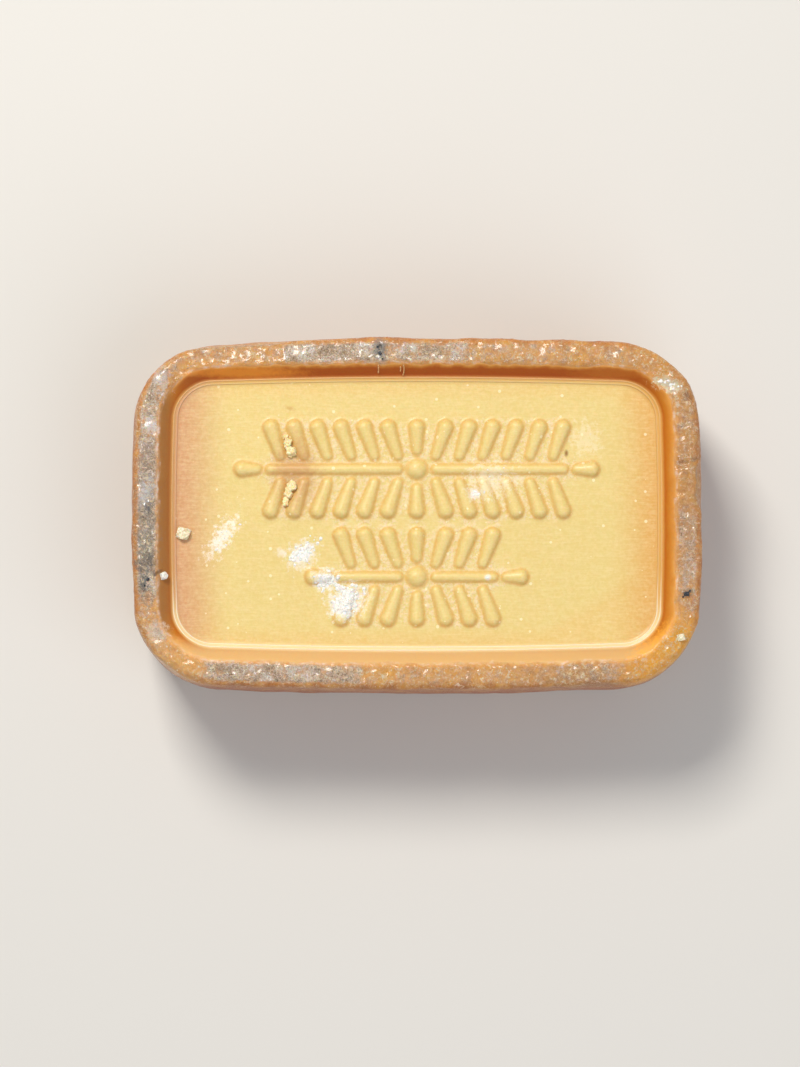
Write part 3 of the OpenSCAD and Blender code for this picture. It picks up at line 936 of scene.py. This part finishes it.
# %% [markdown]
# ## Crumbs
# A crumb of dry soap is a chip with a few flat broken faces and a granular skin. A cube is cut by
# planes that lean at random, from a fixed seed, so each chip has its own facets. A bevel takes the
# knife edges off, and a fine remesh with a little displacement makes the broken skin.

# %% Break a chip from a block
CHIP_CUTS, CHIP_ROUND, CHIP_ROUGH = 6, 0.04, 0.2
crumbly = texture("crumbly", "CLOUDS", noise_scale=0.3 * MM, noise_depth=2)


def model_chip(name, length, width, height, seed):
    """A chip with broken corners that stands on z = 0 at the origin."""
    draw = random.Random(seed)
    bpy.ops.object.select_all(action="DESELECT")
    bpy.ops.mesh.primitive_cube_add(size=1, location=(0, 0, height * MM / 2),
                                    scale=(length * MM, width * MM, height * MM))
    chip = bpy.context.object
    chip.name = name
    bpy.ops.object.transform_apply(location=True, rotation=True, scale=True)
    centre = Vector((0, 0, height / 2))
    with editing(chip, "FACE"):
        for _ in range(CHIP_CUTS):
            way = Vector((draw.uniform(-1, 1), draw.uniform(-1, 1), draw.uniform(-0.1, 0.9)))
            way.normalize()
            half = (abs(way.x) * length + abs(way.y) * width + abs(way.z) * height) / 2
            bpy.ops.mesh.select_all(action="SELECT")
            bpy.ops.mesh.bisect(plane_co=(centre + way * half * draw.uniform(0.62, 0.85)) * MM,
                                plane_no=way, use_fill=True, clear_outer=True)
        bpy.ops.mesh.select_all(action="SELECT")
        bpy.ops.mesh.bevel(offset=CHIP_ROUND * height * MM, segments=1, affect="EDGES")
    apply_modifier(chip, "REMESH", mode="VOXEL", voxel_size=max(0.035, 0.07 * height) * MM)
    apply_modifier(chip, "SMOOTH", factor=0.5, iterations=3)
    displace(chip, crumbly, CHIP_ROUGH * height)
    bpy.ops.object.shade_smooth()
    return chip


# %% [markdown]
# A crumb comes to rest on the skin below it. A ray dropped from above finds that skin, and the
# crumb is turned about its own axis, leant to the skin's slope and set down, sunk by a hair.

# %% Set a piece down on the bar
bar_tree = BVHTree.FromObject(bar, bpy.context.evaluated_depsgraph_get())
SUNK = 0.06


def skin_at(x, y, around=0.3):
    """Where the bar's skin is at (x, y), in mm, and which way it faces, averaged around there."""
    spots, faces = [], Vector()
    for dx, dy in ((0, 0), (around, 0), (-around, 0), (0, around), (0, -around)):
        start = Vector((x + dx, y + dy, BAR_H + 5)) * MM
        spot, facing, _, _ = bar_tree.ray_cast(start, Vector((0, 0, -1)))
        spots.append(spot / MM)
        faces += facing
    return spots[0], faces.normalized()


def set_down(piece, x, y, turn=0.0):
    """Move a piece that was modelled at the origin onto the bar's skin at (x, y)."""
    spot, facing = skin_at(x, y)
    lean = Vector((0, 0, 1)).rotation_difference(facing).to_matrix().to_4x4()
    place = Matrix.Translation((spot - facing * SUNK) * MM)
    piece.data.transform(place @ lean @ Matrix.Rotation(turn, 4, "Z"))


def join_as(name, pieces):
    """Join pieces into one object of this name."""
    activate(pieces[0])
    for piece in pieces[1:]:
        piece.select_set(True)
    bpy.ops.object.join()
    pieces[0].name = name
    return pieces[0]


# %% The three single crumbs
CRUMB_L, SMALL_CRUMB_L = 2.3, 1.2
CREST_MID = U_CREST + CREST_W / 2
CORNER_TURN = math.radians(-24)
corner_reach = CORNER_R - CREST_MID
SQUARE_AT = (-PANEL_L / 2 + 0.45 * CRUMB_L, -3.1)
SLOPE_AT = (-HALF_L + U_SLOPE + SLOPE_W / 2, -10)
CORNER_AT = (HALF_L - CORNER_R + corner_reach * math.cos(CORNER_TURN),
             -HALF_W + CORNER_R + corner_reach * math.sin(CORNER_TURN))

CRUMBS = [  # name, place, length, height as a share of the length, turn (degrees), seed
    ("broken_crumb", SQUARE_AT, CRUMB_L, 0.45, -25, 7),
    ("white_crumb", SLOPE_AT, SMALL_CRUMB_L, 0.6, 20, 4),
    ("rim_crumb", CORNER_AT, SMALL_CRUMB_L, 0.5, 15, 9),
]
CRUMB_SHARE_W = 0.9
crumbs = []
for name, place, length, share_h, turn, seed in CRUMBS:
    crumbs.append(model_chip(name, length, CRUMB_SHARE_W * length, share_h * length, seed))
    set_down(crumbs[-1], *place, turn=math.radians(turn))
square_crumb, slope_crumb, corner_crumb = crumbs

# %% [markdown]
# A row of straw-coloured crumbs is lodged in one gap between leaves of the upper sprig. The gap leans
# as the leaves do, so the row follows the same formula as the leaves: its place along the gap gives
# its place along the bar. Crumbs that touch stick together, so a remesh fuses them into clumps.

# %% Crumbs lodged in the gap
LODGED = [  # distance from the stem in mm, how far across the gap (mm), size as a share of the gap
    (5.2, 0, 0.9), (4.3, 0.15, 1.5), (3.5, -0.2, 1.2), (2.8, 0.1, 1.7), (2.3, -0.3, 0.9),
    (-2.2, 0, 1.0), (-2.8, 0.2, 1.7), (-3.5, -0.15, 1.3), (-4.1, 0.1, 1.5), (-4.8, -0.1, 1.0),
    (-5.4, 0.1, 1.2),
]
upper_pairs = math.floor((UPPER_HALF - BERRY_CLEAR - TIP_R - END_LEAF_MIN) / LEAF_PITCH)
gap_x = BERRY_CLEAR + (upper_pairs - 1.5) * LEAF_PITCH
lodged = []
for k, (off_stem, aside, share) in enumerate(LODGED):
    size = share * LEAF_GAP
    chip = model_chip("lodged", size, CRUMB_SHARE_W * size, 0.75 * size, seed=20 + k)
    lean_x = (abs(off_stem) - LEAF_ROOT) / math.tan(LEAF_LEAN)
    set_down(chip, -gap_x - lean_x + aside, UPPER_Y + off_stem, turn=k * 1.1)
    lodged.append(chip)
gap_crumbs = join_as("lodged_crumbs", lodged)
apply_modifier(gap_crumbs, "REMESH", mode="VOXEL", voxel_size=0.07 * MM)
apply_modifier(gap_crumbs, "SMOOTH", factor=0.5, iterations=4)
displace(gap_crumbs, crumbly, 0.35)
bpy.ops.object.shade_smooth()

# %% [markdown]
# Grit is mineral: darker, harder and sharper than soap. Each grain has one or two small ones beside
# it, because grit crumbles too.

# %% Grit on the land
GRAINS = [  # x, y, size, all in mm
    (HALF_L - CREST_MID, -12.9, 0.85), (HALF_L - CREST_MID + 0.6, -12.4, 0.35),
    (HALF_L - CREST_MID - 0.5, -13.4, 0.3), (-5.9, HALF_W - CREST_MID, 0.6),
    (-6.3, HALF_W - CREST_MID + 1.0, 0.35), (-5.5, HALF_W - CREST_MID - 0.9, 0.3),
    (-HALF_L + CREST_MID, -10.6, 0.55), (-HALF_L + CREST_MID - 0.5, -11.6, 0.35),
]
grit_grains = []
for k, (x, y, size) in enumerate(GRAINS):
    grain = model_chip("grain", size, 0.8 * size, 0.6 * size, seed=50 + k)
    set_down(grain, x, y, turn=k * 0.7)
    grit_grains.append(grain)
rim_grit = join_as("rim_grit_grains", grit_grains)

# %% [markdown]
# ## Dried scum
# Scum dries as a crust of tiny overlapping flakes, thick in the middle of a patch and scattered at
# its edge. One flattened icosphere is modelled, and copies of it are scattered from a fixed seed and
# set down on the skin. A remesh then fuses the copies that overlap into crust, while those that lie
# apart stay crumbs.

# %% Scatter flakes and fuse them
PATCHES = [  # x, y, half length, half width (mm), turn (degrees), flakes, largest flake (mm)
    (-18.3, -6.4, 2.3, 1.6, 40, 46, 0.5), (-14.6, -10.7, 1.9, 1.5, 0, 34, 0.5),
    (-11.2, -13.9, 2.7, 2.2, 35, 80, 0.6), (-31.0, -4.0, 3.4, 1.3, 52, 24, 0.34),
    (40.0, 20.6, 1.9, 0.6, -15, 30, 0.34), (9.2, 3.3, 1.0, 1.0, 0, 16, 0.36),
    (12.6, 6.2, 2.6, 1.8, 0, 18, 0.28), (11.3, -10.2, 0.3, 0.3, 0, 5, 0.34),
    (27.0, 12.0, 1.8, 1.8, 0, 12, 0.24),
]
SCUM_VOXEL = 0.11
bpy.ops.object.select_all(action="DESELECT")
bpy.ops.mesh.primitive_ico_sphere_add(subdivisions=1, radius=MM)
flake = bpy.context.object
with editing(flake, "VERT"):
    bpy.ops.mesh.select_all(action="SELECT")
    bpy.ops.transform.resize(value=(1, 0.75, 0.5), center_override=(0, 0, 0))
scatter = random.Random(11)
flakes = []
for x, y, half_long, half_wide, turn, count, largest in PATCHES:
    turn = math.radians(turn)
    for _ in range(count):
        along, across = scatter.gauss(0, 0.5) * half_long, scatter.gauss(0, 0.5) * half_wide
        size = largest * scatter.uniform(0.45, 1)
        copy = flake.copy()
        copy.data = flake.data.copy()
        copy.data.transform(Matrix.Scale(size, 4))
        bpy.context.collection.objects.link(copy)
        set_down(copy, x + along * math.cos(turn) - across * math.sin(turn),
                 y + along * math.sin(turn) + across * math.cos(turn), scatter.uniform(0, 6))
        flakes.append(copy)
bpy.data.objects.remove(flake)
scum = join_as("scum_crust", flakes)
apply_modifier(scum, "REMESH", mode="VOXEL", voxel_size=SCUM_VOXEL * MM)
displace(scum, crumbly, 0.16)
bpy.ops.object.shade_smooth()

# %% [markdown]
# ## Lint
# A fibre is a path of five points that curls over the slope: each point is set on the skin plus the
# fibre's own radius. A round bevel gives the path its thickness, and it is then made a mesh.

# %% Lay the fibres
FIBRE_D, FIBRE_CURL_R = 0.2, 4.2
FIBRES = [(-2.0, 0.9), (-6.1, 0.55), (-2.6, 0.3)]  # x in mm, share of the slope's length
slope_len = math.hypot(SLOPE_W, RECESS_D - STEP_H)
fibres = []
for x, share in FIBRES:
    half_turn = math.asin(share * slope_len / 2 / FIBRE_CURL_R)
    bpy.ops.object.select_all(action="DESELECT")
    bpy.ops.curve.primitive_nurbs_path_add(radius=MM)
    fibre = bpy.context.object
    for k, point in enumerate(fibre.data.splines[0].points):
        angle = half_turn * (1 - k / 2)
        px = x + FIBRE_CURL_R * (math.cos(angle) - 1)
        py = HALF_W - U_SLOPE - SLOPE_W / 2 + FIBRE_CURL_R * math.sin(angle) * SLOPE_W / slope_len
        spot, facing = skin_at(px, py, around=0.1)
        point.co = [*((spot + facing * FIBRE_D / 2) * MM), 1]
    fibre.data.bevel_depth = FIBRE_D / 2 * MM
    fibre.data.bevel_resolution = 2
    fibre.data.use_fill_caps = True
    bpy.ops.object.convert(target="MESH")
    fibres.append(bpy.context.object)
lint = join_as("lint_strands", fibres)
bpy.ops.object.shade_smooth()
bpy.ops.object.transform_apply(location=True, rotation=True, scale=True)

# %% [markdown]
# ### Finishes of the loose pieces
# Dry soap crumbs and scum are chalky: rough, pale and a little translucent. Grit is silt and slate,
# with a slight gloss. Lint is tan cotton, whose edges glow a little with sheen. All start from one
# grainy pattern, at its own scale, that runs through three colours and gives a matching bump.

# %% Crumb, scum, grit and lint
GRAINY = {  # name: (grain in mm, dark, middle and light colour, roughness, subsurface, sheen)
    "dry_soap_crumb": (0.35, "#c9b98c", "#e9dfbd", "#fbf6df", 0.7, 0.25, 0),
    "straw_soap_crumb": (0.3, "#e2c684", "#f2e0a8", "#fdf6d6", 0.6, 0.4, 0),
    "chalky_scum": (0.25, "#cfcbc2", "#efede6", "#fffefb", 0.85, 0.15, 0),
    "slate_grit": (0.15, "#15181c", "#2c3036", "#5a5e63", 0.4, 0, 0),
    "tan_cotton_lint": (0.2, "#b97a38", "#dca05a", "#f2c98c", 0.8, 0.1, 0.4),
}


def grainy_material(name):
    grain_mm, dark, middle, light, roughness, subsurface, sheen = GRAINY[name]
    made = new_material(name)
    place = add(made, "TexCoord").outputs["Object"]
    grain = add(made, "TexNoise",
                {"Vector": place, "Scale": 1 / (grain_mm * MM), "Detail": 3, "Roughness": 0.65})
    tone = add(made, "ValToRGB", {"Fac": grain.outputs["Fac"]})
    fill_ramp(tone, [(0.33, dark), (0.5, middle), (0.65, light)])
    bump = add(made, "Bump", {"Height": grain.outputs["Fac"], "Strength": 0.6,
                              "Distance": grain_mm * MM / 3})
    skin = add(made, "BsdfPrincipled",
               {"Base Color": tone.outputs["Color"], "Roughness": roughness, "IOR": 1.46,
                "Normal": bump.outputs[0], "Subsurface Weight": subsurface,
                "Subsurface Scale": 0.4 * MM, "Sheen Weight": sheen})
    add(made, "OutputMaterial", {"Surface": skin.outputs[0]})
    return made


def dress(piece, material):
    piece.data.materials.clear()
    piece.data.materials.append(material)


crumb_skin = grainy_material("dry_soap_crumb")
scum_skin = grainy_material("chalky_scum")
dress(square_crumb, crumb_skin)
dress(corner_crumb, crumb_skin)
dress(gap_crumbs, grainy_material("straw_soap_crumb"))
dress(slope_crumb, scum_skin)
dress(scum, scum_skin)
dress(rim_grit, grainy_material("slate_grit"))
dress(lint, grainy_material("tan_cotton_lint"))

# %% The loose pieces ride on the body
stand_in(square_crumb, "pale_crumb", "square_crumb")
stand_in(slope_crumb, "dried_scum", "slope_crumb")
stand_in(corner_crumb, "pale_crumb", "corner_crumb")
stand_in(gap_crumbs, "pale_crumb", "gap_crumbs")
stand_in(scum, "dried_scum", "scum_flakes")
stand_in(rim_grit, "grit", "rim_grit")
stand_in(lint, "lint", "lint_fibres")

# %% [markdown]
# ## Floor, light and camera
# A key light from above the bar's upper left shows the relief on a pale floor: far edges catch the
# light and near edges fall into shade. It is small enough for the broken faces of the rim to glint,
# and a wide fill light from the other side keeps the shade open. The camera looks almost straight
# down, from very slightly below the bar's lower long side, through a long lens that hardly widens
# near parts.

# %% Floor
bpy.ops.object.select_all(action="DESELECT")
bpy.ops.mesh.primitive_plane_add(size=3, location=(0, 0, 0))
floor = bpy.context.object
floor.name = "pale_floor"
paper = new_material("pale_paper")
paper_surface = add(paper, "BsdfPrincipled",
                    {"Base Color": linear("#dcdad5"), "Roughness": 0.9})
add(paper, "OutputMaterial", {"Surface": paper_surface.outputs[0]})
floor.data.materials.append(paper)

# %% Lights
def area_light(name, place, size, power, colour):
    """A square area light that faces the bar."""
    data = bpy.data.lights.new(name, "AREA")
    data.size = size
    data.energy = power
    data.color = linear(colour)[:3]
    light = bpy.data.objects.new(name, data)
    light.location = place
    light.rotation_euler = Vector(place).to_track_quat("Z", "Y").to_euler()
    bpy.context.collection.objects.link(light)


area_light("key", (-0.22, 0.43, 0.64), 0.24, 5.3, "#fffaf2")
area_light("fill", (0.4, -0.45, 0.65), 0.8, 2.9, "#f8f8ff")
world = bpy.data.worlds.new("soft_room")
world.use_nodes = True
world.node_tree.nodes["Background"].inputs["Color"].default_value = linear("#eef0f2")
world.node_tree.nodes["Background"].inputs["Strength"].default_value = 0.36
bpy.context.scene.world = world
bpy.context.scene.view_settings.view_transform = "Standard"

# %% Camera
FRAME_W, FRAME_H = 800, 1067
VIEW_W, SENSOR_W = 127.3, 36
LOOK_AT = Vector((-2.7, -3.3, BAR_H)) * MM
ELEVATION = math.radians(87)
DISTANCE = 0.6
camera_data = bpy.data.cameras.new("camera")
camera_data.sensor_fit = "HORIZONTAL"
camera_data.sensor_width = SENSOR_W
camera_data.lens = SENSOR_W * DISTANCE / (VIEW_W * MM)
camera = bpy.data.objects.new("camera", camera_data)
away = Vector((0, -math.cos(ELEVATION), math.sin(ELEVATION)))
camera.location = LOOK_AT + away * DISTANCE
camera.rotation_euler = (math.pi / 2 - ELEVATION, 0, 0)
bpy.context.collection.objects.link(camera)
bpy.context.scene.camera = camera
print(f"lens {camera_data.lens:.0f} mm, frame {VIEW_W} x {VIEW_W * FRAME_H / FRAME_W:.1f} mm")
